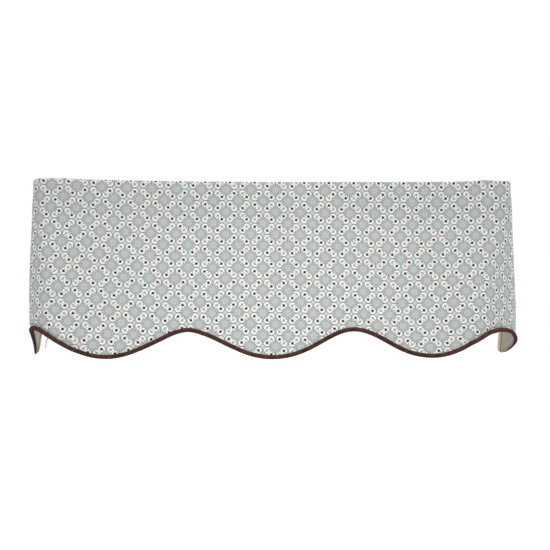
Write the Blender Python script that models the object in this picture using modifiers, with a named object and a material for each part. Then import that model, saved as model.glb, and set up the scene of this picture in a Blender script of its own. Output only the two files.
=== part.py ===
"""Window valance: a lined, printed cotton valance with returns and a scalloped, corded hem.

It hangs from its top edge. X runs along the front, +Y goes back to the wall and Z is up.
The origin is the middle of the front's top edge. Lengths are in metres.

A place on the cloth is given as `along`, the distance along the cloth from the middle of
the front, and `down`, the distance below the top edge. `behind` is measured square to the
cloth, from the middle of the printed cotton's thickness towards the inside.
"""

import math

import bpy
import numpy as np

# Cut sizes of the cloth. The hem's low points are rounder than its high points.
HALF_WIDTH = 0.722
LONG_DROP = 0.3885
WAVE = 0.0595
ROUNDER_LOWS = 0.0025
HEADING = 0.095
SIDE_HEM = 0.019
CORNER_RADIUS = 0.014

# Thicknesses, and the clearance kept between pieces that touch
COTTON = 0.0012
LINING = 0.0010
CLEAR = 0.0004
CORD_RADIUS = 0.0051
THREAD_RADIUS = 0.0009

# Points of the cloth's grid: rows from the side hems' top to where the hem is drawn in, the
# columns across a side hem's turned strip, and the steps of a turned edge's half circle, in
# degrees
HEM_ROWS = 7
STRIP_SHARES = (0.3, 1.0)
FOLD_ANGLES = (60, 120, 180)
CORNER_ANGLES = (0, 25, 50, 70, 90)
CORD_CORNER_ANGLES = (90, 75, 60, 45, 30, 15, 0)

# How the layers lie behind one another
LINING_BEHIND = COTTON / 2 + CLEAR + LINING / 2
FOLD_RADIUS = LINING_BEHIND
LINING_TOP = 0.078
HEM_TOP = HEADING + 0.002
LINING_SHORT = 0.003
CORD_RAISED = 0.0024

# How far the cloth kicks out to the front between the lining's top and the hem
KICK = 0.048
KICK_POWER = 1.15

# Round the corners the cord's seam draws the hem in: over this height above the hem, from
# nothing to all of it and back to nothing between these distances from the middle.
DRAWN_HEIGHT = 0.015
DRAWN_ALONG = (0.40, 0.49, 0.56, 0.70)
SLOPE_STEP = 0.001

# The top corners are pinched narrower down to this share of the depth
PINCHED_DEPTH = 0.2

# Each side's plan, from the middle of the front: a corner of two bends with a flat between.
# At the top edge both bends are close together; towards the hem they move apart, and half
# way down the side bellies out. hem_turns are the hem's low and high points in turn.
BEND_AT_TOP = 0.014
BEND_APART = 0.016
PLAN_LEFT = {
    "corner": 0.5322,
    "first_bend": 0.4854,
    "second_bend": 0.5446,
    "first_length": 0.0364,
    "second_length": 0.0568,
    "first_turn": math.radians(39.9),
    "whole_turn": math.radians(80.5),
    "turn_power": 4.0,
    "belly": 0.0138,
    "belly_power": 1.37,
    "drawn_in": 0.0085,
    "pinched": 0.0025,
    "hem_turns": (0.0, 0.181, 0.364, 0.537, HALF_WIDTH),
}
PLAN_RIGHT = {
    "corner": 0.5343,
    "first_bend": 0.4422,
    "second_bend": 0.5844,
    "first_length": 0.0516,
    "second_length": 0.0730,
    "first_turn": math.radians(38.6),
    "whole_turn": math.radians(94.5),
    "turn_power": 1.0,
    "belly": 0.0107,
    "belly_power": 2.09,
    "drawn_in": 0.0036,
    "pinched": 0.0045,
    "hem_turns": (0.0, 0.182, 0.354, 0.514, HALF_WIDTH),
}

# Past the front's corners the cord is drawn thinner: along, share of its full thickness
CORD_SHARES = np.array([(0.500, 1.0), (0.560, 0.72), (0.700, 0.42)])

# Unevenness of the two long edges: along, rise
TOP_RISE = np.array([
    (-0.722, 0.0070), (-0.527, 0.0078), (-0.510, 0.0092), (-0.460, 0.0090), (-0.430, 0.0066),
    (-0.330, 0.0042), (-0.210, 0.0018), (-0.100, 0.0008), (0.000, 0.0000), (0.400, 0.0007),
    (0.445, 0.0025), (0.475, 0.0046), (0.500, 0.0034), (0.530, 0.0024), (0.722, 0.0020),
])
HEM_RISE = np.array([
    (-0.722, -0.0035), (-0.600, -0.0010), (-0.530, 0.0010), (-0.470, -0.0008),
    (-0.410, 0.0024), (-0.350, 0.0000), (-0.290, -0.0006), (-0.235, -0.0041),
    (-0.180, -0.0015), (-0.150, -0.0034), (-0.080, 0.0010), (0.000, 0.0000),
    (0.080, -0.0005), (0.160, 0.0010), (0.210, -0.0008), (0.290, 0.0001),
    (0.350, 0.0031), (0.430, 0.0069), (0.470, 0.0016), (0.500, -0.0040),
    (0.530, -0.0020), (0.560, 0.0020), (0.620, 0.0000), (0.722, 0.0000),
])

# A thread end that hangs from the lining behind the left corner: along, below hem, behind
THREAD_ROUTE = (
    (-0.4770, -0.0145, 0.0034), (-0.4820, -0.0101, 0.0034), (-0.4868, -0.0055, 0.0035),
    (-0.4913, -0.0006, 0.0037), (-0.4954, 0.0046, 0.0039), (-0.4991, 0.0100, 0.0041),
    (-0.5022, 0.0156, 0.0042), (-0.5046, 0.0214, 0.0043), (-0.5063, 0.0274, 0.0043),
    (-0.5075, 0.0335, 0.0043),
)


def blend(start, end, share):
    return start + (end - start) * share


def smooth_share(value, start, end):
    share = min(max((value - start) / (end - start), 0.0), 1.0)
    return share * share * (3 - 2 * share)


def side_of(along):
    return PLAN_RIGHT if along >= 0 else PLAN_LEFT


def plan_legs(side, depth):
    """The legs of one side's plan at a depth from 0 (top edge) to 1 (hem): length, turn."""
    belly = side["belly"] * math.sin(math.pi * depth ** side["belly_power"])
    corner = side["corner"] - side["pinched"] * smooth_share(depth, PINCHED_DEPTH, 0.0)
    first = blend(corner - BEND_APART / 2, side["first_bend"], depth)
    second = blend(corner + BEND_APART / 2, side["second_bend"], depth) + belly
    first_length = blend(BEND_AT_TOP, side["first_length"], depth)
    second_length = blend(BEND_AT_TOP, side["second_length"], depth)
    whole_turn = blend(math.radians(90), side["whole_turn"], depth ** side["turn_power"])
    flat = second - second_length / 2 - (first + first_length / 2)
    return (
        (first - first_length / 2, 0.0),
        (first_length, side["first_turn"]),
        (flat, 0.0),
        (second_length, whole_turn - side["first_turn"]),
        (HALF_WIDTH, 0.0),
    )


def walk(legs, distance):
    """Follow straight and curved legs for a distance: where that ends, and its heading."""
    x = 0.0
    y = 0.0
    heading = 0.0
    for length, turn in legs:
        part = min(length, distance)
        distance -= part
        if turn == 0.0:
            x += part * math.cos(heading)
            y += part * math.sin(heading)
            continue
        radius = length / turn
        after = heading + part / radius
        x += radius * (math.sin(after) - math.sin(heading))
        y += radius * (math.cos(heading) - math.cos(after))
        heading = after
    return x, y, heading


def drop(along):
    """Length of the cloth from its top edge to the scalloped hem, with rounded ends."""
    distance = min(abs(along), HALF_WIDTH)
    turns = np.interp(distance, side_of(along)["hem_turns"], (0, 1, 2, 3, 4))
    wave = 0.5 * WAVE * (1 - math.cos(math.pi * turns))
    wave -= ROUNDER_LOWS * (1 - math.cos(math.tau * turns))
    into_corner = max(distance - (HALF_WIDTH - CORNER_RADIUS), 0.0)
    height_left = math.sqrt(max(CORNER_RADIUS ** 2 - into_corner ** 2, 0.0))
    return LONG_DROP - wave - (CORNER_RADIUS - height_left)


def drawn_in(along, down):
    """How far the cord's seam draws the cloth in at a place near the hem's corners."""
    start, full, fading, end = DRAWN_ALONG
    share = smooth_share(abs(along), start, full) - smooth_share(abs(along), fading, end)
    above = min(max(drop(along) - down, 0.0), DRAWN_HEIGHT)
    return side_of(along)["drawn_in"] * share * (1 - above / DRAWN_HEIGHT)


def cloth_point(along, down, behind=0.0):
    """A place on the hanging cloth."""
    side = side_of(along)
    depth = min(max(down / LONG_DROP, 0.0), 1.0)
    x, y, heading = walk(plan_legs(side, depth), abs(along))
    drawn = drawn_in(along, down)
    slope = (drawn - drawn_in(along, down - SLOPE_STEP)) / SLOPE_STEP
    behind = behind * math.hypot(1.0, slope) + drawn
    x -= behind * math.sin(heading)
    y += behind * math.cos(heading)
    kick = max(down - LINING_TOP, 0.0) / (LONG_DROP - LINING_TOP)
    y -= KICK * kick ** KICK_POWER
    top_rise = np.interp(along, TOP_RISE[:, 0], TOP_RISE[:, 1])
    hem_rise = np.interp(along, HEM_RISE[:, 0], HEM_RISE[:, 1])
    return math.copysign(x, along), y, blend(top_rise, hem_rise, depth) - down


def half_columns():
    """Distances from the middle to a back edge, closer together round the corner."""
    # start, end, number of columns
    stretches = ((0.0, 0.420, 28), (0.420, 0.500, 8), (0.500, 0.560, 12), (0.560, 0.640, 8),
                 (0.640, HALF_WIDTH - SIDE_HEM, 4))
    columns = [0.0]
    for start, end, count in stretches:
        columns += [blend(start, end, step / count) for step in range(1, count + 1)]
    into_corner = HALF_WIDTH - CORNER_RADIUS
    columns += [into_corner + CORNER_RADIUS * math.sin(math.radians(angle))
                for angle in CORNER_ANGLES]
    return columns


def hem_rows(along):
    """Depths from the lining's top down to the hem."""
    hem = drop(along)
    flat_end = hem - DRAWN_HEIGHT
    below = [blend(HEM_TOP, flat_end, step / HEM_ROWS) for step in range(1, HEM_ROWS + 1)]
    return [LINING_TOP, HEM_TOP] + below + [hem - DRAWN_HEIGHT / 2, hem]


def fold_steps():
    """A turned edge's half circle: how far it stands out, and how far behind it gets."""
    return [(FOLD_RADIUS * math.sin(math.radians(angle)),
             FOLD_RADIUS * (1 - math.cos(math.radians(angle)))) for angle in FOLD_ANGLES]


def new_material(name, color, roughness):
    material = bpy.data.materials.new(name)
    material.use_nodes = True
    shader = material.node_tree.nodes["Principled BSDF"]
    shader.inputs["Base Color"].default_value = (*color, 1.0)
    shader.inputs["Roughness"].default_value = roughness
    shader.inputs["Metallic"].default_value = 0.0
    return material


def finish(piece, name, material, collection):
    piece.name = name
    piece.data.name = name
    piece.data.materials.clear()
    piece.data.materials.append(material)
    for other in list(piece.users_collection):
        other.objects.unlink(piece)
    collection.objects.link(piece)


def hang_sheet(columns, rows, place, is_cloth, thickness):
    """A flat grid whose points are put at place(column, row), then given a thickness."""
    bpy.ops.mesh.primitive_grid_add(x_subdivisions=columns - 1, y_subdivisions=rows - 1,
                                    size=2.0)
    piece = bpy.context.object
    dropped = []
    for vertex in piece.data.vertices:
        column = round((vertex.co.x + 1) / 2 * (columns - 1))
        row = round((vertex.co.y + 1) / 2 * (rows - 1))
        if is_cloth(column, row):
            vertex.co = place(column, row)
        else:
            dropped.append(vertex.index)
    bpy.ops.object.mode_set(mode="EDIT")
    bpy.ops.mesh.select_mode(type="VERT")
    bpy.ops.mesh.select_all(action="DESELECT")
    bpy.ops.object.mode_set(mode="OBJECT")
    for index in dropped:
        piece.data.vertices[index].select = True
    bpy.ops.object.mode_set(mode="EDIT")
    bpy.ops.mesh.delete(type="VERT")
    bpy.ops.object.mode_set(mode="OBJECT")
    solidify = piece.modifiers.new("Thickness", "SOLIDIFY")
    solidify.thickness = thickness
    solidify.offset = 0.0
    solidify.use_even_offset = True
    return piece


def make_face_cloth():
    """The printed front and returns, its heading turned down and side hems turned in."""
    half = half_columns()
    main = [-distance for distance in reversed(half[1:])] + half
    turned = [(HALF_WIDTH + out, back) for out, back in fold_steps()]
    turned += [(HALF_WIDTH - SIDE_HEM * share, 2 * FOLD_RADIUS) for share in STRIP_SHARES]
    across = [(-along, behind) for along, behind in reversed(turned)]
    across += [(along, 0.0) for along in main]
    across += turned
    first_main = len(turned)
    last_main = first_main + len(main) - 1
    front_rows = len(hem_rows(0.0))
    edge = COTTON / 2 + FOLD_RADIUS
    over_top = [(LINING_TOP / 2, 0.0), (edge, 0.0)]
    over_top += [(edge - out, back) for out, back in fold_steps()]
    over_lining = 2 * FOLD_RADIUS + CLEAR
    over_top += [(LINING_TOP, over_lining), (HEADING, over_lining)]

    def place(column, row):
        along, behind = across[column]
        if row >= front_rows:
            down, behind = over_top[row - front_rows]
            return cloth_point(along, down, behind)
        down = hem_rows(min(max(along, -HALF_WIDTH), HALF_WIDTH))[front_rows - 1 - row]
        if behind > 0 and row == 0:
            down -= LINING_SHORT
        return cloth_point(along, down, behind)

    def is_cloth(column, row):
        return row < front_rows - 1 or first_main <= column <= last_main

    return hang_sheet(len(across), front_rows + len(over_top), place, is_cloth, COTTON)


def make_lining():
    """Plain lining behind the front and returns, tucked under the heading and side hems."""
    half = half_columns()[:-1]
    main = [-distance for distance in reversed(half[1:])] + half
    rows = len(hem_rows(0.0))

    def place(column, row):
        along = main[column]
        down = hem_rows(along)[rows - 1 - row]
        if row == 0:
            down -= LINING_SHORT
        return cloth_point(along, down, LINING_BEHIND)

    return hang_sheet(len(main), rows, place, lambda column, row: True, LINING)


def make_tube(points, radii):
    curve = bpy.data.curves.new("Tube", "CURVE")
    curve.dimensions = "3D"
    curve.bevel_depth = 1.0
    curve.bevel_resolution = 2
    curve.use_fill_caps = True
    line = curve.splines.new("POLY")
    line.points.add(len(points) - 1)
    for point, place, radius in zip(line.points, points, radii):
        point.co = (*place, 1.0)
        point.radius = radius
    tube = bpy.data.objects.new("Tube", curve)
    bpy.context.collection.objects.link(tube)
    return tube


def cord_share(along):
    return np.interp(abs(along), CORD_SHARES[:, 0], CORD_SHARES[:, 1])


def make_trim_cord():
    """Twisted cord sewn to the outside along the hem, its ends turned up at the back."""
    centre = HALF_WIDTH - CORNER_RADIUS
    half = [distance for distance in half_columns() if distance < centre]
    main = [-distance for distance in reversed(half[1:])] + half
    radius = CORNER_RADIUS - CORD_RAISED * cord_share(centre)
    corner = []
    for angle in CORD_CORNER_ANGLES:
        turn = math.radians(angle)
        corner.append((centre + radius * math.sin(turn),
                       LONG_DROP - CORNER_RADIUS + radius * math.cos(turn)))
    path = [(-along, down) for along, down in corner]
    path += [(along, drop(along) - CORD_RAISED * cord_share(along)) for along in main]
    path += reversed(corner)
    radii = [CORD_RADIUS * cord_share(along) for along, down in path]
    points = [cloth_point(along, down, -(COTTON / 2 + CLEAR + radius))
              for (along, down), radius in zip(path, radii)]
    return make_tube(points, radii)


def make_loose_thread():
    """A thread end left hanging from the lining's hem."""
    points = [cloth_point(along, drop(along) + below, behind)
              for along, below, behind in THREAD_ROUTE]
    return make_tube(points, [THREAD_RADIUS] * len(points))


for old in list(bpy.data.objects):
    bpy.data.objects.remove(old)

parts = bpy.data.collections.new("window_valance")
bpy.context.scene.collection.children.link(parts)

finish(make_face_cloth(), "face_cloth",
       new_material("printed cotton", (0.53, 0.56, 0.55), 0.9), parts)
finish(make_lining(), "lining",
       new_material("lining", (0.42, 0.38, 0.33), 0.9), parts)
finish(make_trim_cord(), "trim_cord",
       new_material("brown cord", (0.08, 0.035, 0.027), 0.75), parts)
finish(make_loose_thread(), "loose_thread",
       new_material("grey thread", (0.35, 0.33, 0.32), 0.9), parts)
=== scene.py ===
import math

import bpy
import numpy as np
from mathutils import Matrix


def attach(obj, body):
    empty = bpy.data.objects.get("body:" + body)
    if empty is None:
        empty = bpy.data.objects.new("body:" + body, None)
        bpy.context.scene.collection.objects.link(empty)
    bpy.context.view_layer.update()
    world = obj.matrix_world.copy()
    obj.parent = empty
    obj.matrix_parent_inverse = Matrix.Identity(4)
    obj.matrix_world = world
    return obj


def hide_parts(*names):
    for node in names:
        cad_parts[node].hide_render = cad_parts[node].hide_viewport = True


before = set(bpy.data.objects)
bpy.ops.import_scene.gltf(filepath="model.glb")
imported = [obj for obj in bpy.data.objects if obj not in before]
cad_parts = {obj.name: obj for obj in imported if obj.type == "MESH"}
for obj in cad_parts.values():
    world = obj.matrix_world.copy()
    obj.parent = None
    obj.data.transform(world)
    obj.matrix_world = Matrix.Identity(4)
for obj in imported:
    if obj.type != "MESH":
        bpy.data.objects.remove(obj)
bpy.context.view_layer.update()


# ---- The eye
# It stands two metres in front of the valance, level with the lower part of the cloth, and
# looks very slightly up.
bpy.ops.object.camera_add(location=(0.0073, -2.0, -0.2631),
                          rotation=(math.radians(91.6), 0.0, 0.0))
eye = bpy.context.object
eye.data.sensor_width = 36.0
eye.data.lens = 58.97
bpy.context.scene.camera = eye


# ---- Loose thread
# A sewing thread's end, left long where the lining's hem was finished behind the left corner.
# It is pale grey, of two plies twisted together, and hangs free below the cord.
class Dye:
    """A socket of a material's nodes. Sums written on it add the Math nodes for them."""

    def __init__(self, tree, socket=None):
        self.tree = tree
        self.socket = socket

    def node(self, kind, settings=None, sockets=None, output=0):
        made = self.tree.nodes.new(kind)
        for name, value in (settings or {}).items():
            setattr(made, name, value)
        for name, value in (sockets or {}).items():
            if isinstance(value, Dye):
                self.tree.links.new(value.socket, made.inputs[name])
            else:
                made.inputs[name].default_value = value
        return Dye(self.tree, made.outputs[output])

    def math(self, operation, *values, first=None):
        numbers = (self, *values) if first is None else (first, self)
        return self.node("ShaderNodeMath", {"operation": operation},
                         dict(enumerate(numbers)))

    def clipped(self, low, high):
        return self.math("MAXIMUM", low).math("MINIMUM", high)

    def __add__(self, other):
        return self.math("ADD", other)

    def __sub__(self, other):
        return self.math("SUBTRACT", other)

    def __rsub__(self, other):
        return self.math("SUBTRACT", first=other)

    def __mul__(self, other):
        return self.math("MULTIPLY", other)

    __radd__ = __add__
    __rmul__ = __mul__


def linear(red, green, blue):
    """A dye's colour, from the 0 to 255 numbers of a shade card."""
    shades = [shade / 255 for shade in (red, green, blue)]
    return (*[shade / 12.92 if shade <= 0.04045 else ((shade + 0.055) / 1.055) ** 2.4
              for shade in shades], 1.0)


def laid_over(under, over, share):
    """One colour over another, by a share from 0 to 1."""
    dye = share if isinstance(share, Dye) else under if isinstance(under, Dye) else over
    return dye.node("ShaderNodeMix", {"data_type": "RGBA"}, {0: share, 6: under, 7: over},
                    output=2)


def new_finish(name):
    """A fabric's material: its shader's node, and a Dye to start its sums from."""
    material = bpy.data.materials.new(name)
    material.use_nodes = True
    tree = material.node_tree
    return material, tree.nodes["Principled BSDF"], Dye(tree)


def across_map(dye, name):
    """The two numbers of a piece's own map."""
    place = dye.node("ShaderNodeUVMap", {"uv_map": name})
    apart = place.node("ShaderNodeSeparateXYZ", sockets={0: place})
    return apart, Dye(dye.tree, apart.socket.node.outputs[1]), place


def patches(dye, place, scale, detail, roughness=0.5, dimensions="2D", output=0):
    """Soft uneven patches: output 0 is a number about 0.5, output 1 a colour."""
    return dye.node("ShaderNodeTexNoise", {"noise_dimensions": dimensions},
                    {"Vector": place, "Scale": scale, "Detail": detail,
                     "Roughness": roughness}, output)


def finish_fabric(dye, shader, color, roughness, height, bump_depth, sheen, sheen_tint):
    """Joins a fabric's colour, roughness and surface height to its shader."""
    bump = dye.node("ShaderNodeBump", sockets={"Strength": 1.0, "Distance": bump_depth,
                                               "Height": height})
    dye.tree.links.new(color.socket, shader.inputs["Base Color"])
    dye.tree.links.new(roughness.socket, shader.inputs["Roughness"])
    dye.tree.links.new(bump.socket, shader.inputs["Normal"])
    shader.inputs["Specular IOR Level"].default_value = 0.25
    shader.inputs["Sheen Weight"].default_value = sheen
    shader.inputs["Sheen Roughness"].default_value = 0.5
    shader.inputs["Sheen Tint"].default_value = sheen_tint


def yarn_finish(name, color, pale_fibre_and_highlight_color, crevice_shade_color, lay, around):
    """Spun yarn: fibres that lie slantwise round each ply, with painted shade in the crevices
    between the plies and a painted highlight on the ply crests.
    """
    material, shader, dye = new_finish(name)
    along, turn, place = across_map(dye, "ply")
    fibres = ((turn * around + along * (1000 / lay)) * math.tau).math("SINE")
    in_space = dye.node("ShaderNodeTexCoord", output=3)
    spots = patches(dye, in_space, 900.0, 3.0, 0.6, "3D")
    broad = patches(dye, in_space, 95.0, 2.0, 0.5, "3D")
    outside = (turn * math.tau).math("COSINE")
    # painted shade: the yarn is darkened towards the crevices between the plies, where shade
    # would fall
    painted_crevice_shade = ((0.80 - outside) * 2.4).clipped(0.0, 1.0)
    # real fibre and tone variation, plus a painted highlight that lightens each ply's outer crest
    fibre_tone_and_painted_highlight = fibres * 0.22 + (spots - 0.5) * 1.1 + (broad - 0.5) * 2.0 + outside * 0.2 + 0.28
    shade = laid_over(color, pale_fibre_and_highlight_color, fibre_tone_and_painted_highlight.clipped(0.0, 1.0))
    shade = laid_over(shade, crevice_shade_color, painted_crevice_shade)
    height = fibres * 0.35 + spots * 0.9
    finish_fabric(dye, shader, shade, 0.72 + (spots - 0.5) * 0.3, height, 0.00028,
                  0.06, pale_fibre_and_highlight_color)
    return material


def flush(piece, name, material):
    """Names a finished piece, gives it its material and hangs it on the frame."""
    piece.name = name
    piece.data.name = name
    piece.data.materials.clear()
    piece.data.materials.append(material)
    for face in piece.data.polygons:
        face.use_smooth = True
    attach(piece, "root")


def outwards(piece):
    """Merges a mesh's doubles and turns its faces outwards."""
    bpy.ops.object.select_all(action="DESELECT")
    piece.select_set(True)
    bpy.context.view_layer.objects.active = piece
    bpy.ops.object.mode_set(mode="EDIT")
    bpy.ops.mesh.select_all(action="SELECT")
    bpy.ops.mesh.remove_doubles(threshold=1e-6)
    bpy.ops.mesh.normals_make_consistent(inside=False)
    bpy.ops.object.mode_set(mode="OBJECT")


def twist_plies(line, shares, plies, lay, lay_radius, ply_radius, sides, step):
    """Plies twisted round one another along a line, like a rope, each closed at its ends.

    shares are the rope's thickness at the line's points, as shares of its full thickness,
    and lay is the length of one full turn. The map called ply holds how far along the rope
    a place is, in metres, and how far round its ply, 0 being outermost."""
    line = np.array(line)
    gone = np.append(0.0, np.cumsum(np.linalg.norm(np.diff(line, axis=0), axis=1)))
    count = int(gone[-1] / step) + 1
    places = np.linspace(0.0, gone[-1], count)
    middle = np.stack([np.interp(places, gone, line[:, axis]) for axis in range(3)], axis=1)
    ahead = np.gradient(middle, axis=0)
    ahead /= np.linalg.norm(ahead, axis=1)[:, None]
    side = np.zeros_like(middle)
    side[0] = np.cross(ahead[0], (0.31, -0.87, 0.38))
    side[0] /= np.linalg.norm(side[0])
    for index in range(1, count):
        turned = side[index - 1] - ahead[index] * (side[index - 1] @ ahead[index])
        side[index] = turned / np.linalg.norm(turned)
    up = np.cross(ahead, side)
    thickness = np.interp(places, gone, shares)
    to_end = np.minimum(places, gone[-1] - places) / (1.5 * ply_radius)
    taper = np.sqrt(np.clip(1 - (1 - np.clip(to_end, 0, 1)) ** 2, 0.02, 1))
    points = []
    faces = []
    turns = []
    for ply in range(plies):
        angle = -math.tau * (places / lay + ply / plies)
        out = np.cos(angle)[:, None] * side + np.sin(angle)[:, None] * up
        spine = middle + out * (thickness * lay_radius * (0.4 + 0.6 * taper))[:, None]
        along = np.gradient(spine, axis=0)
        along /= np.linalg.norm(along, axis=1)[:, None]
        around = np.cross(along, out)
        around /= np.linalg.norm(around, axis=1)[:, None]
        raised = np.cross(around, along)
        first = len(points)
        for index in range(count):
            for corner in range(sides):
                turn = math.tau * corner / sides
                reach = math.cos(turn) * raised[index] + math.sin(turn) * around[index]
                points.append(spine[index] + reach * ply_radius * thickness[index] * taper[index])
        for index in range(count - 1):
            for corner in range(sides):
                ring = first + index * sides
                after = (corner + 1) % sides
                faces.append((ring + corner, ring + after, ring + sides + after,
                              ring + sides + corner))
                share = (corner / sides, (corner + 1) / sides)
                turns += [(places[index], share[0]), (places[index], share[1]),
                          (places[index + 1], share[1]), (places[index + 1], share[0])]
        for ring, place in ((first, 0.0), (first + (count - 1) * sides, gone[-1])):
            faces.append(tuple(ring + corner for corner in range(sides)))
            turns += [(place, corner / sides) for corner in range(sides)]
    mesh = bpy.data.meshes.new("plies")
    mesh.from_pydata(points, [], faces)
    ply_map = mesh.uv_layers.new(name="ply")
    ply_map.uv.foreach_set("vector", np.array(turns, dtype=np.float32).ravel())
    rope = bpy.data.objects.new("plies", mesh)
    bpy.context.collection.objects.link(rope)
    outwards(rope)
    return rope


def smooth_line(knots, steps):
    """A smooth line through knots, with a number of steps between each two of them."""
    knots = [np.array(knot) for knot in knots]
    knots = [2 * knots[0] - knots[1]] + knots + [2 * knots[-1] - knots[-2]]
    line = []
    for before, start, end, after in zip(knots, knots[1:], knots[2:], knots[3:]):
        for step in range(steps):
            share = step / steps
            line.append(0.5 * (2 * start + (end - before) * share
                               + (2 * before - 5 * start + 4 * end - after) * share ** 2
                               + (3 * start - before - 3 * end + after) * share ** 3))
    return [tuple(place) for place in line] + [tuple(knots[-2])]


thread_route = smooth_line((
    (-0.47677, -0.03465, -0.33365), (-0.48086, -0.03162, -0.33523),
    (-0.48411, -0.02835, -0.33723), (-0.48638, -0.02476, -0.33981),
    (-0.48907, -0.02398, -0.34303), (-0.49126, -0.02297, -0.34676),
    (-0.49299, -0.02218, -0.35108), (-0.49419, -0.02163, -0.35598),
    (-0.49514, -0.02135, -0.36142), (-0.49594, -0.02121, -0.36718),
), 3)
thread = twist_plies(thread_route, [1.0] * len(thread_route), plies=2, lay=0.0046,
                     lay_radius=0.00042, ply_radius=0.00050, sides=8, step=0.00035)
# Its colours: the thread's own grey, a paler grey that also paints the ply crests' highlight, and
# a darker grey painted as shade between the plies.
flush(thread, "sewing_thread", yarn_finish(
    "grey thread", linear(172, 168, 170), linear(208, 204, 204), linear(132, 128, 129),
    lay=1.6, around=5))
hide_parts("loose_thread")


# ---- Printed face
# One length of printed cotton makes the front and both returns. Its heading is turned down
# behind the top edge and its two ends are turned in as side hems; the hem is cut in scallops.
# Sizes are in metres, and along and down are measured on the cloth from the middle of its
# top edge.
HALF_WIDTH = 0.722
LONG_DROP = 0.3885
WAVE = 0.0595
ROUNDER_LOWS = 0.0025
HEADING = 0.095
SIDE_HEM = 0.019
CORNER_RADIUS = 0.014
COTTON = 0.0010
CLEAR = 0.0004
FOLD_RADIUS = 0.0015
LINING_TOP = 0.078
HEM_TOP = HEADING + 0.002
LINING_SHORT = 0.003
KICK = 0.048
KICK_POWER = 1.15
BEND_AT_TOP = 0.014
BEND_APART = 0.016
DRAWN_HEIGHT = 0.015
DRAWN_ALONG = (0.40, 0.49, 0.56, 0.70)
SLOPE_STEP = 0.001
PINCHED_DEPTH = 0.2
# Each side's corner is square at the top edge and opens into two bends at the hem: where they
# lie along the cloth, how long they are and how far they turn. hem_turns are the places of
# the scallops' lows and highs.
PLAN_LEFT = {
    "corner": 0.5322,
    "first_bend": 0.4854,
    "second_bend": 0.5446,
    "first_length": 0.0364,
    "second_length": 0.0568,
    "first_turn": math.radians(39.9),
    "whole_turn": math.radians(80.5),
    "turn_power": 4.0,
    "belly": 0.0138,
    "belly_power": 1.37,
    "drawn_in": 0.0085,
    "pinched": 0.0025,
    "hem_turns": (0.0, 0.181, 0.364, 0.537, HALF_WIDTH),
}
PLAN_RIGHT = {
    "corner": 0.5343,
    "first_bend": 0.4422,
    "second_bend": 0.5844,
    "first_length": 0.0516,
    "second_length": 0.0730,
    "first_turn": math.radians(38.6),
    "whole_turn": math.radians(94.5),
    "turn_power": 1.0,
    "belly": 0.0107,
    "belly_power": 2.09,
    "drawn_in": 0.0036,
    "pinched": 0.0045,
    "hem_turns": (0.0, 0.182, 0.354, 0.514, HALF_WIDTH),
}
# How far the top edge and the hem rise above their even lines: along, rise
TOP_RISE = np.array([
    (-0.722, 0.0070), (-0.527, 0.0078), (-0.510, 0.0092), (-0.460, 0.0090), (-0.430, 0.0066),
    (-0.330, 0.0042), (-0.210, 0.0018), (-0.100, 0.0008), (0.000, 0.0000), (0.400, 0.0007),
    (0.445, 0.0025), (0.475, 0.0046), (0.500, 0.0034), (0.530, 0.0024), (0.722, 0.0020),
])
HEM_RISE = np.array([
    (-0.722, -0.0035), (-0.600, -0.0010), (-0.530, 0.0010), (-0.470, -0.0008),
    (-0.410, 0.0024), (-0.350, 0.0000), (-0.290, -0.0006), (-0.235, -0.0041),
    (-0.180, -0.0015), (-0.150, -0.0034), (-0.080, 0.0010), (0.000, 0.0000),
    (0.080, -0.0005), (0.160, 0.0010), (0.210, -0.0008), (0.290, 0.0001),
    (0.350, 0.0031), (0.430, 0.0069), (0.470, 0.0016), (0.500, -0.0040),
    (0.530, -0.0020), (0.560, 0.0020), (0.620, 0.0000), (0.722, 0.0000),
])


def blend(start, end, share):
    return start + (end - start) * share


def smooth_share(value, start, end):
    share = min(max((value - start) / (end - start), 0.0), 1.0)
    return share * share * (3 - 2 * share)


def plan_legs(side, depth):
    """The legs of one side's plan at a depth from 0 (top edge) to 1 (hem): length, turn."""
    belly = side["belly"] * math.sin(math.pi * depth ** side["belly_power"])
    corner = side["corner"] - side["pinched"] * smooth_share(depth, PINCHED_DEPTH, 0.0)
    first = blend(corner - BEND_APART / 2, side["first_bend"], depth)
    second = blend(corner + BEND_APART / 2, side["second_bend"], depth) + belly
    first_length = blend(BEND_AT_TOP, side["first_length"], depth)
    second_length = blend(BEND_AT_TOP, side["second_length"], depth)
    whole_turn = blend(math.radians(90), side["whole_turn"], depth ** side["turn_power"])
    flat = second - second_length / 2 - (first + first_length / 2)
    return (
        (first - first_length / 2, 0.0),
        (first_length, side["first_turn"]),
        (flat, 0.0),
        (second_length, whole_turn - side["first_turn"]),
        (HALF_WIDTH, 0.0),
    )


def walk(legs, distance):
    """Follow straight and curved legs for a distance: where that ends, and its heading."""
    x = 0.0
    y = 0.0
    heading = 0.0
    for length, turn in legs:
        part = min(length, distance)
        distance -= part
        if turn == 0.0:
            x += part * math.cos(heading)
            y += part * math.sin(heading)
            continue
        radius = length / turn
        after = heading + part / radius
        x += radius * (math.sin(after) - math.sin(heading))
        y += radius * (math.cos(heading) - math.cos(after))
        heading = after
    return x, y, heading


def drop(along):
    """Length of the cloth from its top edge to the scalloped hem, with rounded ends."""
    distance = min(abs(along), HALF_WIDTH)
    side = PLAN_RIGHT if along >= 0 else PLAN_LEFT
    turns = np.interp(distance, side["hem_turns"], (0, 1, 2, 3, 4))
    wave = 0.5 * WAVE * (1 - math.cos(math.pi * turns))
    wave -= ROUNDER_LOWS * (1 - math.cos(math.tau * turns))
    into_corner = max(distance - (HALF_WIDTH - CORNER_RADIUS), 0.0)
    height_left = math.sqrt(max(CORNER_RADIUS ** 2 - into_corner ** 2, 0.0))
    return LONG_DROP - wave - (CORNER_RADIUS - height_left)


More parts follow.
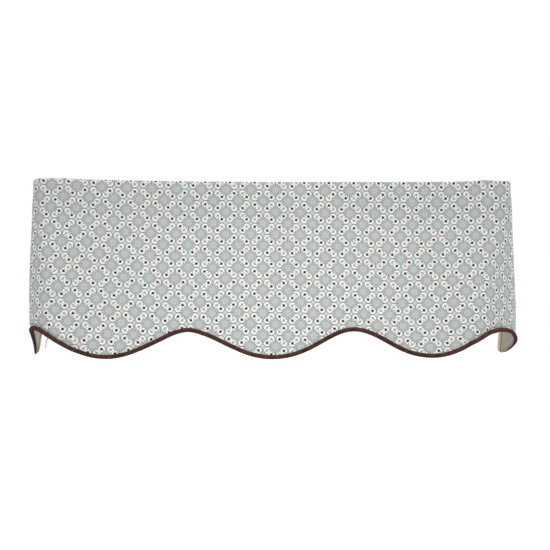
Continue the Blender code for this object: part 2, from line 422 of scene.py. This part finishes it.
def drawn_in(along, down):
    """How far the cord's seam draws the cloth in at a place near the hem's corners."""
    start, full, fading, end = DRAWN_ALONG
    side = PLAN_RIGHT if along >= 0 else PLAN_LEFT
    share = smooth_share(abs(along), start, full) - smooth_share(abs(along), fading, end)
    above = min(max(drop(along) - down, 0.0), DRAWN_HEIGHT)
    return side["drawn_in"] * share * (1 - above / DRAWN_HEIGHT)


def unevenness(along, down):
    """How far the cloth stands out of its even hang: soft waves, and puckers at the hem."""
    depth = min(max(down / LONG_DROP, 0.0), 1.0)
    waves = 0.00075 * math.sin(along * 31.0 + 0.8 + 2.0 * depth)
    waves += 0.00045 * math.sin(along * 67.0 - 1.7 + 3.1 * depth)
    waves *= 0.25 + 0.75 * depth
    flats = 0.00022 * math.sin(along * 23.0 + down * 61.0) * math.sin(down * 47.0 - along * 9.0)
    pressed = 0.00016 * math.exp(-((down - HEADING) / 0.0022) ** 2)
    above_hem = max(drop(along) - down, 0.0)
    puckers = 0.00017 * math.exp(-above_hem / 0.009)
    puckers *= math.sin(along * 437.0 + 2.2 * math.sin(along * 29.0))
    puckers *= 0.65 + 0.35 * math.sin(along * 71.0)
    return waves + flats - pressed + puckers


def cloth_point(along, down, behind=0.0):
    """A place on the hanging cloth, or behind it."""
    side = PLAN_RIGHT if along >= 0 else PLAN_LEFT
    depth = min(max(down / LONG_DROP, 0.0), 1.0)
    x, y, heading = walk(plan_legs(side, depth), abs(along))
    drawn = drawn_in(along, down)
    slope = (drawn - drawn_in(along, down - SLOPE_STEP)) / SLOPE_STEP
    behind = behind * math.hypot(1.0, slope) + drawn + unevenness(along, down)
    x -= behind * math.sin(heading)
    y += behind * math.cos(heading)
    kick = max(down - LINING_TOP, 0.0) / (LONG_DROP - LINING_TOP)
    y -= KICK * kick ** KICK_POWER
    top_rise = np.interp(along, TOP_RISE[:, 0], TOP_RISE[:, 1])
    hem_rise = np.interp(along, HEM_RISE[:, 0], HEM_RISE[:, 1])
    return math.copysign(x, along), y, blend(top_rise, hem_rise, depth) - down


def hang_sheet(columns, rows, place, is_cloth, map_place, thickness):
    """A flat grid put at place(column, row), given its maps and a thickness.

    map_place gives the map called cloth, in metres along and down the flat cloth, and the
    map called print, in the print's repeats. The attribute reverse is 1 on the wrong side
    and the cut edges of the cloth."""
    bpy.ops.object.select_all(action="DESELECT")
    bpy.ops.mesh.primitive_grid_add(x_subdivisions=columns - 1, y_subdivisions=rows - 1,
                                    size=2.0)
    piece = bpy.context.object
    mesh = piece.data
    while mesh.uv_layers:
        mesh.uv_layers.remove(mesh.uv_layers[0])
    dropped = []
    mapped = []
    for vertex in mesh.vertices:
        column = round((vertex.co.x + 1) / 2 * (columns - 1))
        row = round((vertex.co.y + 1) / 2 * (rows - 1))
        mapped.append(map_place(column, row))
        if is_cloth(column, row):
            vertex.co = place(column, row)
        else:
            dropped.append(vertex.index)
    for index, name in enumerate(("cloth", "print")):
        sheet_map = mesh.uv_layers.new(name=name)
        for loop in mesh.loops:
            sheet_map.uv[loop.index].vector = mapped[loop.vertex_index][index]
    bpy.ops.object.mode_set(mode="EDIT")
    bpy.ops.mesh.select_mode(type="VERT")
    bpy.ops.mesh.select_all(action="DESELECT")
    bpy.ops.object.mode_set(mode="OBJECT")
    for index in dropped:
        mesh.vertices[index].select = True
    bpy.ops.object.mode_set(mode="EDIT")
    bpy.ops.mesh.delete(type="VERT")
    bpy.ops.object.mode_set(mode="OBJECT")
    solidify = piece.modifiers.new("Thickness", "SOLIDIFY")
    solidify.thickness = thickness
    solidify.offset = 0.0
    solidify.use_even_offset = True
    solidify.material_offset = 1
    solidify.material_offset_rim = 1
    mesh.materials.append(None)
    mesh.materials.append(None)
    bpy.ops.object.modifier_apply(modifier="Thickness")
    reverse = mesh.attributes.new("reverse", "FLOAT", "FACE")
    reverse.data.foreach_set("value", [face.material_index for face in mesh.polygons])
    return piece


def half_columns(spacing):
    """Distances from the middle to a back edge, closer together round the corner."""
    # each stretch's start, its end, and the share of the spacing that it has
    stretches = ((0.0, 0.420, 1.0), (0.420, 0.660, 0.7), (0.660, HALF_WIDTH - SIDE_HEM, 0.9))
    columns = [0.0]
    for start, end, share in stretches:
        count = math.ceil((end - start) / (spacing * share))
        columns += [blend(start, end, step / count) for step in range(1, count + 1)]
    columns += [HALF_WIDTH - SIDE_HEM * share for share in (0.87, 0.79)]
    into_corner = HALF_WIDTH - CORNER_RADIUS
    columns += [into_corner + CORNER_RADIUS * math.sin(math.radians(angle))
                for angle in (0, 16, 32, 48, 62, 76, 90)]
    return columns


def spread(start, end, count):
    return [blend(start, end, step / count) for step in range(1, count + 1)]


half = half_columns(0.0042)
main = [-distance for distance in reversed(half[1:])] + half
fold_steps = [(FOLD_RADIUS * math.sin(math.radians(angle)),
               FOLD_RADIUS * (1 - math.cos(math.radians(angle))))
              for angle in (30, 60, 90, 120, 150, 180)]
# The turned edge of a side hem: along, behind, and how far round the fold the cloth has gone
turned = [(HALF_WIDTH + out, back, FOLD_RADIUS * math.radians(30 * (step + 1)))
          for step, (out, back) in enumerate(fold_steps)]
turned += [(HALF_WIDTH - SIDE_HEM * share, 2 * FOLD_RADIUS,
            FOLD_RADIUS * math.pi + SIDE_HEM * share) for share in (0.13, 0.21, 0.5, 0.8, 1.0)]
across = [(-along, behind, -HALF_WIDTH - gone) for along, behind, gone in reversed(turned)]
across += [(along, 0.0, along) for along in main]
across += [(along, behind, HALF_WIDTH + gone) for along, behind, gone in turned]
first_main = len(turned)
last_main = first_main + len(main) - 1
body_rows = 58
crown = COTTON / 2 + FOLD_RADIUS
# Rows above the side hems: down, behind, and the cloth's own length down from the top edge
upper_rows = [(HEM_TOP - 0.0005 - step * 0.0018, 0.0, HEM_TOP - 0.0005 - step * 0.0018)
              for step in range(1, 6)]
upper_rows += [(down, 0.0, down) for down in spread(upper_rows[-1][0], crown, 14)]
upper_rows += [(crown - out, back, crown - FOLD_RADIUS * math.radians(30 * (step + 1)))
               for step, (out, back) in enumerate(fold_steps)]
flap_behind = 2 * FOLD_RADIUS
upper_rows += [(down, flap_behind + CLEAR * min(down / LINING_TOP, 1.0),
                crown - FOLD_RADIUS * math.pi - down)
               for down in spread(crown, LINING_TOP, 10) + spread(LINING_TOP, HEADING, 4)]


def face_down(column, row):
    along = across[column][0]
    on_cloth = min(max(along, -HALF_WIDTH), HALF_WIDTH)
    down = blend(drop(on_cloth), HEM_TOP, row / (body_rows - 1))
    if across[column][1] > 0 and row == 0:
        down -= LINING_SHORT
    return down


def face_place(column, row):
    along, behind, _ = across[column]
    if row < body_rows:
        return cloth_point(along, face_down(column, row), behind)
    down, behind, _ = upper_rows[row - body_rows]
    return cloth_point(along, down, behind)


def face_is_cloth(column, row):
    return row < body_rows or first_main <= column <= last_main


REPEAT_WIDE = 0.0550
REPEAT_HIGH = 0.0495
PRINT_START = -0.0083
PRINT_LOWERED = 0.0675
# The cloth is pulled off its thread. At the front's corners the print lies this much further
# out than an even repeat: at the top edge, halfway down and at the longest drop
PRINT_CORNER = 0.53
PRINT_SPREAD_LEFT = (0.0035, 0.0120, 0.0260)
PRINT_SPREAD_RIGHT = (0.0055, 0.0080, 0.0150)
SPREAD_POWER = 2.5
# How much lower its rows run in the middle, how much they fall for each metre to the right,
# both at the same three heights, and how much they sag on each side of the middle
PRINT_LOWER = (-0.0005, 0.0005, -0.0005)
PRINT_TILT = (0.006, 0.013, 0.0075)
PRINT_SAG = 0.0012


def at_depth(values, depth):
    """A value between three that hold at the top edge, halfway down and at the hem."""
    top, middle, hem = values
    return (top * (1 - depth) * (1 - 2 * depth) + middle * 4 * depth * (1 - depth)
            + hem * depth * (2 * depth - 1))


def face_maps(column, row):
    """Where the print's repeats fall on the cloth, counted in repeats."""
    along = across[column][2]
    down = face_down(column, row) if row < body_rows else upper_rows[row - body_rows][2]
    depth = down / LONG_DROP
    to_corner = min(abs(along) / PRINT_CORNER, 1.0)
    further_out = at_depth(PRINT_SPREAD_RIGHT if along >= 0 else PRINT_SPREAD_LEFT, depth)
    further_out *= to_corner ** SPREAD_POWER
    wide = along + PRINT_START - math.copysign(further_out, along)
    in_front = min(max(along, -PRINT_CORNER), PRINT_CORNER)
    high = down - PRINT_LOWERED - at_depth(PRINT_LOWER, depth)
    high -= at_depth(PRINT_TILT, depth) * in_front
    high -= PRINT_SAG * math.sin(math.pi * to_corner)
    return (along, down), (wide / REPEAT_WIDE, high / REPEAT_HIGH)


face = hang_sheet(len(across), body_rows + len(upper_rows), face_place, face_is_cloth,
                  face_maps, COTTON)


# The printed motifs, in millimetres from the middle of a rosette, the same in each of its four
# quarters. A quarter holds a pair of dots, each in its own ring, joined at the waist
MOTIF_WIDE = REPEAT_WIDE * 1000
MOTIF_HIGH = REPEAT_HIGH * 1000
UPPER_DOT = (9.05, 16.55)
LOWER_DOT = (18.15, 8.30)
DARK_DOT_RADIUS = 2.85
PALE_DOT_RADIUS = 2.6
RING_RADIUS = 6.8
WAIST_RADIUS = 4.5
DISK_RADIUS = 7.3
EYE_RADIUS = 1.2
PETAL_PLACE = 4.6
RAYS = 16
RAYS_START = 7.0
COMB_END = 16.2
GAPS_END = 12.4
STEM_HALF = 0.8
GEM_HALF = 4.2
GREY_INK = linear(134, 140, 139)
STROKE_INK = linear(132, 139, 139)
THREAD_APART = 0.00045
WHITE = (1.0, 1.0, 1.0, 1.0)


def soft_step(value, edge, softness):
    """0 above an edge and 1 below it, with a soft border of ink."""
    return value.node("ShaderNodeMapRange",
                      {"interpolation_type": "SMOOTHSTEP", "clamp": True},
                      {0: value, 1: edge - softness, 2: edge + softness, 3: 1.0, 4: 0.0})


def distance(wide, high):
    return (wide * wide + high * high).math("SQRT")


def random_of(dye, wide, high, seed):
    """A number from 0 to 1 that is the same all over one motif."""
    spot = dye.node("ShaderNodeCombineXYZ", sockets={0: wide, 1: high, 2: seed})
    return dye.node("ShaderNodeTexWhiteNoise", {"noise_dimensions": "3D"}, {0: spot})


def printed_cotton():
    """An ordinary small repeat of rosettes, with pairs of ringed dots between them."""
    material, shader, dye = new_finish("printed cotton")
    wide, high, place = across_map(dye, "print")
    cloth_wide, cloth_high, cloth_place = across_map(dye, "cloth")
    # the nearest rosette, of the first kind or of the second kind midway between four of those
    step_wide = (wide + 0.5).math("FLOOR")
    step_high = (high + 0.5).math("FLOOR")
    part_wide = (wide - step_wide) * MOTIF_WIDE
    part_high = (high - step_high) * MOTIF_HIGH
    from_wide = part_wide.math("ABSOLUTE")
    from_high = part_high.math("ABSOLUTE")
    to_wide = MOTIF_WIDE / 2 - from_wide
    to_high = MOTIF_HIGH / 2 - from_high
    first = distance(from_wide, from_high)
    second = distance(to_wide, to_high)
    by_second = second.math("LESS_THAN", first)
    near_wide = from_wide + by_second * (to_wide - from_wide)
    near_high = from_high + by_second * (to_high - from_high)
    radius = first.math("MINIMUM", second)
    angle = near_high.math("ARCTAN2", near_wide)

    # how far it is to the line that joins a quarter's two dots, and to each dot
    lean_wide = LOWER_DOT[0] - UPPER_DOT[0]
    lean_high = LOWER_DOT[1] - UPPER_DOT[1]
    squared = lean_wide ** 2 + lean_high ** 2
    past_wide = from_wide - UPPER_DOT[0]
    past_high = from_high - UPPER_DOT[1]
    on_pair = past_wide * (lean_wide / squared) + past_high * (lean_high / squared)
    on_pair = on_pair.clipped(0.0, 1.0)
    from_pair = distance(past_wide - on_pair * lean_wide, past_high - on_pair * lean_high)
    upper = distance(past_wide, past_high)
    lower = distance(from_wide - LOWER_DOT[0], from_high - LOWER_DOT[1])
    same_sign = (part_wide * part_high).math("GREATER_THAN", 0.0)
    dark = upper + same_sign * (lower - upper)
    pale = lower + same_sign * (upper - lower)
    from_edge = dark.math("MINIMUM", pale) - RING_RADIUS
    from_edge = from_edge.math("MINIMUM", from_pair - WAIST_RADIUS)

    # one motif's own chances: how brown its dot is, and how cool or green its ground
    quarter_wide = (wide * 2.0).math("FLOOR")
    quarter_high = (high * 2.0).math("FLOOR")
    chance = random_of(dye, quarter_wide, quarter_high, 1.0)
    warmth = random_of(dye, quarter_wide, quarter_high, 2.0)
    spot_wide = (wide * 2.0 + 0.5).math("FLOOR")
    spot_high = (high * 2.0 + 0.5).math("FLOOR")
    coolness = random_of(dye, spot_wide, spot_high, 3.0)
    greenness = random_of(dye, spot_wide, spot_high, 4.0)
    mottle = (patches(dye, place, 20.0, 2.0, 0.6) - 0.5) * 2.2
    mottle_dark = mottle.math("MAXIMUM", 0.0) * 0.6
    mottle_light = (0.0 - mottle).math("MAXIMUM", 0.0) * 0.5

    ground = laid_over(linear(196, 191, 190), linear(172, 194, 193), coolness)
    tints = patches(dye, place, 15.0, 2.0, output=1)
    ground = laid_over(ground, tints, 0.26)
    ground = laid_over(ground, linear(160, 166, 166), mottle_dark)
    # thin stems that run between the rosettes, and the small diamonds where they cross
    stems = soft_step(near_wide.math("MINIMUM", near_high), STEM_HALF, 0.35)
    color = laid_over(ground, GREY_INK, stems * (0.75 + mottle * 0.6))
    diamond = (to_wide + from_high).math("MINIMUM", from_wide + to_high)
    gem = laid_over(linear(207, 211, 210), linear(199, 214, 210), greenness)
    color = laid_over(color, gem, soft_step(diamond, GEM_HALF, 0.8))
    # the pairs: a thin outline, then white
    color = laid_over(color, GREY_INK, soft_step(from_edge, 0.8, 0.25) * 0.65)
    white = laid_over(linear(246, 247, 243), linear(247, 244, 241), warmth)
    color = laid_over(color, white, soft_step(from_edge, 0.1, 0.25))
    inner = laid_over(linear(231, 231, 226), linear(233, 227, 224), warmth)
    color = laid_over(color, inner, soft_step(from_edge, -2.4, 0.8) * 0.8)
    # strokes that ray out from each rosette and comb into the pairs
    wander = patches(dye, place, 9.0, 1.0)
    rays = (angle * RAYS + (wander - 0.5) * 2.4).math("COSINE")
    off_disk = 1.0 - soft_step(radius, RAYS_START, 0.5)
    color = laid_over(color, linear(204, 209, 208),
                      soft_step(radius, GAPS_END, 1.2) * off_disk * 0.6)
    flare = (radius - 8.0) * 0.08 + 0.15
    stroke = soft_step(flare - rays, 0.10, 0.22) * soft_step(radius, COMB_END, 0.9)
    color = laid_over(color, STROKE_INK, stroke * off_disk * 0.85)
    # the rosette's mottled disk, with eight faint petals and an eye at its middle
    disk = laid_over(linear(201, 204, 204), linear(196, 203, 210), coolness)
    disk = laid_over(disk, linear(198, 209, 203), greenness * 0.5)
    disk = laid_over(disk, tints, 0.26)
    disk = laid_over(disk, linear(168, 174, 176), mottle_dark)
    disk = laid_over(disk, linear(222, 225, 225), mottle_light)
    color = laid_over(color, disk, soft_step(radius, DISK_RADIUS, 0.9))
    petals = soft_step((angle * 4.0).math("COSINE").math("ABSOLUTE"), 0.35, 0.2)
    petals = petals * soft_step((radius - PETAL_PLACE).math("ABSOLUTE"), 2.2, 0.5)
    eye = soft_step((radius - EYE_RADIUS).math("ABSOLUTE"), 0.5, 0.4)
    color = laid_over(color, linear(166, 173, 175), (petals * 0.4).math("MAXIMUM", eye * 0.5))
    # the dots
    color = laid_over(color, linear(152, 154, 150), soft_step(pale, PALE_DOT_RADIUS, 0.7) * 0.9)
    brown = laid_over(linear(16, 12, 11), linear(58, 38, 32), chance)
    color = laid_over(color, brown, soft_step(dark, DARK_DOT_RADIUS, 0.4))
    # the selvages, turned in as side hems, were left unprinted
    turned_in = (cloth_wide.math("ABSOLUTE") - (HALF_WIDTH + FOLD_RADIUS)) * 1000.0
    color = laid_over(linear(222, 211, 194), color, soft_step(turned_in, 0.0, 0.4))
    # and its wrong side, where the ink shows through only faintly
    reverse = dye.node("ShaderNodeAttribute", {"attribute_name": "reverse"}, output=2)
    color = laid_over(color, laid_over(linear(212, 205, 192), color, 0.08), reverse)

    # the weave: 22 threads to the centimetre both ways, over and under by turns
    warp = (cloth_wide * (math.pi / THREAD_APART)).math("SINE")
    weft = (cloth_high * (math.pi / THREAD_APART)).math("SINE")
    weave = warp * weft
    uneven = patches(dye, cloth_place, 480.0, 3.0, 0.6)
    broad = patches(dye, cloth_place, 16.0, 2.0)
    tone = 0.985 + weave * 0.02 + (uneven - 0.5) * 0.36 + (broad - 0.5) * 0.05
    color = color.node("ShaderNodeVectorMath", {"operation": "SCALE"},
                       {0: color, "Scale": tone})
    finish_fabric(dye, shader, color, 0.82 + weave * 0.05, weave + uneven * 1.5, 0.00006,
                  0.08, WHITE)
    return material


flush(face, "printed_face", printed_cotton())
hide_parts("face_cloth")


# ---- Lining
# A plain beige-grey cloth sewn in behind the front and the returns. Its top is tucked under
# the turned heading and its ends under the side hems, and it stops just short of the hem.
LINING = 0.0008
LINING_BEHIND = FOLD_RADIUS
lining_half = half[:-1]
lining_across = [-distance for distance in reversed(lining_half[1:])] + lining_half
lining_rows = 64
WARP_APART = 0.00042


def lining_down(column, row):
    along = lining_across[column]
    return blend(drop(along) - LINING_SHORT, LINING_TOP, row / (lining_rows - 1))


def lining_place(column, row):
    return cloth_point(lining_across[column], lining_down(column, row), LINING_BEHIND)


def lining_maps(column, row):
    place = (lining_across[column], lining_down(column, row))
    return place, place


lining = hang_sheet(len(lining_across), lining_rows, lining_place, lambda column, row: True,
                    lining_maps, LINING)


def lining_cotton():
    """Plain weave of slightly uneven threads, with the odd thicker one."""
    material, shader, dye = new_finish("lining cotton")
    wide, high, place = across_map(dye, "cloth")
    warp = (wide * (math.pi / WARP_APART)).math("SINE")
    weft = (high * (math.pi / THREAD_APART)).math("SINE")
    weave = warp * weft
    downwards = dye.node("ShaderNodeMapping", sockets={"Vector": place,
                                                       "Scale": (900.0, 30.0, 1.0)})
    sideways = dye.node("ShaderNodeMapping", sockets={"Vector": place,
                                                      "Scale": (26.0, 800.0, 1.0)})
    slubs = patches(dye, downwards, 1.0, 2.0) + patches(dye, sideways, 1.0, 2.0)
    broad = patches(dye, place, 14.0, 3.0)
    shade = weave * 0.12 + (slubs - 1.0) * 1.3 + (broad - 0.5) * 0.5 + 0.5
    color = laid_over(linear(176, 166, 150), linear(200, 190, 174),
                      shade.clipped(0.0, 1.0))
    finish_fabric(dye, shader, color, 0.85 + (slubs - 1.0) * 0.2,
                  weave * 0.7 + slubs * 1.2, 0.00007, 0.1, (1.0, 0.98, 0.95, 1.0))
    return material


flush(lining, "plain_lining", lining_cotton())
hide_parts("lining")


# ---- Trim cord
# A three-ply twisted cord in dark brown yarn edges the whole scalloped hem. It is sewn on
# outside the cloth, and its ends turn up round the rounded back corners.
CORD_RADIUS = 0.0051
CORD_RAISED = 0.0024
# How far the yarn is pressed into the cloth by its stitches
CORD_PRESSED = 0.0003
# Past the front's corners the cord is drawn thinner: along, share of its full thickness
CORD_SHARES = np.array([(0.520, 1.0), (0.600, 0.80), (0.700, 0.42)])


def cord_share(along):
    return np.interp(abs(along), CORD_SHARES[:, 0], CORD_SHARES[:, 1])


centre = HALF_WIDTH - CORNER_RADIUS
end_radius = CORNER_RADIUS - CORD_RAISED * cord_share(centre)
corner_line = [(centre + end_radius * math.sin(math.radians(angle)),
                LONG_DROP - CORNER_RADIUS + end_radius * math.cos(math.radians(angle)))
               for angle in range(90, -1, -6)]
hem_line = [(along, drop(along) - CORD_RAISED * cord_share(along))
            for along in np.linspace(-centre, centre, 900)[1:-1]]
cord_line = [(-along, down) for along, down in corner_line] + hem_line
cord_line += list(reversed(corner_line))
cord_shares = [cord_share(along) for along, down in cord_line]
cord_route = [cloth_point(along, down, -(COTTON / 2 - CORD_PRESSED + CORD_RADIUS * share))
              for (along, down), share in zip(cord_line, cord_shares)]
cord = twist_plies(cord_route, cord_shares, plies=3, lay=0.0153, lay_radius=0.00295,
                   ply_radius=0.00215, sides=10, step=0.00090)
# Its colours: the yarn's own brown, a paler brown that also paints the ply crests' highlight, and
# a near black painted as shade in the crevices between the plies.
flush(cord, "twisted_cord", yarn_finish(
    "brown cord yarn", linear(52, 29, 23), linear(108, 65, 54), linear(5, 3, 2),
    lay=3.2, around=9))
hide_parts("trim_cord")


# ---- Hand stitches
# Slip stitches in grey thread hold down the heading, the side hems and the lining's lower
# edge. They show on the inside only, as short slanting bars.
STITCH_RADIUS = 0.00028
STITCH_RAISED = 0.0004
STITCHED_HALF = 0.696
HEADING_STITCH_APART = 0.012
HEM_STITCH_APART = 0.009


def slip_stitch(start, end):
    """The line of one stitch between two places (along, down, behind), off the cloth."""
    middle = (blend(start[0], end[0], 0.5), blend(start[1], end[1], 0.5),
              max(start[2], end[2]) + STITCH_RAISED)
    return smooth_line([cloth_point(*place) for place in (start, middle, end)], 2)


strip_edge = HALF_WIDTH - SIDE_HEM
on_lining = LINING_BEHIND + LINING / 2
on_flap = flap_behind + CLEAR + COTTON / 2
on_strip = 2 * FOLD_RADIUS + COTTON / 2
stitch_lines = []
for along in np.arange(-STITCHED_HALF, STITCHED_HALF + 0.001, HEADING_STITCH_APART):
    stitch_lines.append(slip_stitch((along, HEADING - 0.0013, on_flap),
                                    (along + 0.0026, HEADING + 0.0020, on_lining)))
for along in np.arange(-STITCHED_HALF, STITCHED_HALF + 0.001, HEM_STITCH_APART):
    low = drop(along) - LINING_SHORT
    stitch_lines.append(slip_stitch((along, low - 0.0015, on_lining),
                                    (along + 0.0024, low + 0.0014, COTTON / 2)))
for down in np.arange(HEM_TOP + 0.004, drop(strip_edge) - 0.012, HEM_STITCH_APART):
    for way in (-1, 1):
        stitch_lines.append(slip_stitch((way * (strip_edge + 0.0012), down, on_strip),
                                        (way * (strip_edge - 0.0018), down + 0.0024,
                                         on_lining)))
stitch_curve = bpy.data.curves.new("stitches", "CURVE")
stitch_curve.dimensions = "3D"
stitch_curve.bevel_depth = STITCH_RADIUS
stitch_curve.bevel_resolution = 1
stitch_curve.use_fill_caps = True
for line in stitch_lines:
    spline = stitch_curve.splines.new("POLY")
    spline.points.add(len(line) - 1)
    for point, place in zip(spline.points, line):
        point.co = (*place, 1.0)
stitches = bpy.data.objects.new("stitches", stitch_curve)
bpy.context.collection.objects.link(stitches)
bpy.ops.object.select_all(action="DESELECT")
stitches.select_set(True)
bpy.context.view_layer.objects.active = stitches
bpy.ops.object.convert(target="MESH")
stitches = bpy.context.object
outwards(stitches)


def stitch_finish():
    """Soft sewing thread, with lighter and darker fibres."""
    material, shader, dye = new_finish("stitch thread")
    fibres = patches(dye, dye.node("ShaderNodeTexCoord", output=3), 1800.0, 2.0, 0.5, "3D")
    shade = laid_over(linear(158, 153, 147), linear(214, 210, 202), fibres)
    finish_fabric(dye, shader, shade, 0.6 + fibres * 0.3, fibres, 0.0001, 0.06, WHITE)
    return material


flush(stitches, "slip_stitches", stitch_finish())


# ---- Floor
# A plain pale floor, as far below the valance as in a room.
bpy.ops.object.select_all(action="DESELECT")
bpy.ops.mesh.primitive_circle_add(vertices=96, radius=30.0, fill_type="NGON",
                                  location=(0.0, 0.0, -2.05))
bpy.ops.object.transform_apply(location=True)
floor = bpy.context.object
floor.name = "pale_floor"
floor_material, floor_shader, _ = new_finish("pale floor")
floor_shader.inputs["Base Color"].default_value = linear(240, 240, 240)
floor_shader.inputs["Roughness"].default_value = 0.9
floor_shader.inputs["Emission Color"].default_value = WHITE
floor_shader.inputs["Emission Strength"].default_value = 0.4
floor.data.materials.append(floor_material)
floor.visible_diffuse = False


# ---- Studio light
# A broad soft light high in front, a pair of round ones close in front of the cloth, and a
# white surround that lights the cloth most from the sides and from above.
bpy.ops.object.light_add(type="SUN", rotation=(math.radians(35), 0.0, 0.0))
high_light = bpy.context.object
high_light.data.energy = 0.262 * math.pi
high_light.data.angle = math.radians(35)
for across_front in (-0.128, 0.128):
    bpy.ops.object.light_add(type="AREA", location=(across_front, -0.7, -0.2),
                             rotation=(math.radians(90), 0.0, 0.0))
    front_light = bpy.context.object
    front_light.data.shape = "DISK"
    front_light.data.size = 0.5
    front_light.data.energy = 0.78

world = bpy.data.worlds.new("surround")
bpy.context.scene.world = world
world.use_nodes = True
surround = Dye(world.node_tree)
seen = surround.node("ShaderNodeLightPath")
direction = surround.node("ShaderNodeTexCoord")
sideways = surround.node("ShaderNodeSeparateXYZ", sockets={0: direction})
height = Dye(surround.tree, sideways.socket.node.outputs[2])
height = height.clipped(-0.5, 0.5)
glow = 0.402 + sideways * 0.116 + sideways * sideways * 0.756 + height * 0.566
glow = glow.math("MAXIMUM", 0.02)
strength = glow + seen * (1.0 - glow)
world.node_tree.links.new(strength.socket,
                          world.node_tree.nodes["Background"].inputs["Strength"])
world.node_tree.nodes["Background"].inputs["Color"].default_value = WHITE
bpy.context.scene.view_settings.view_transform = "Standard"
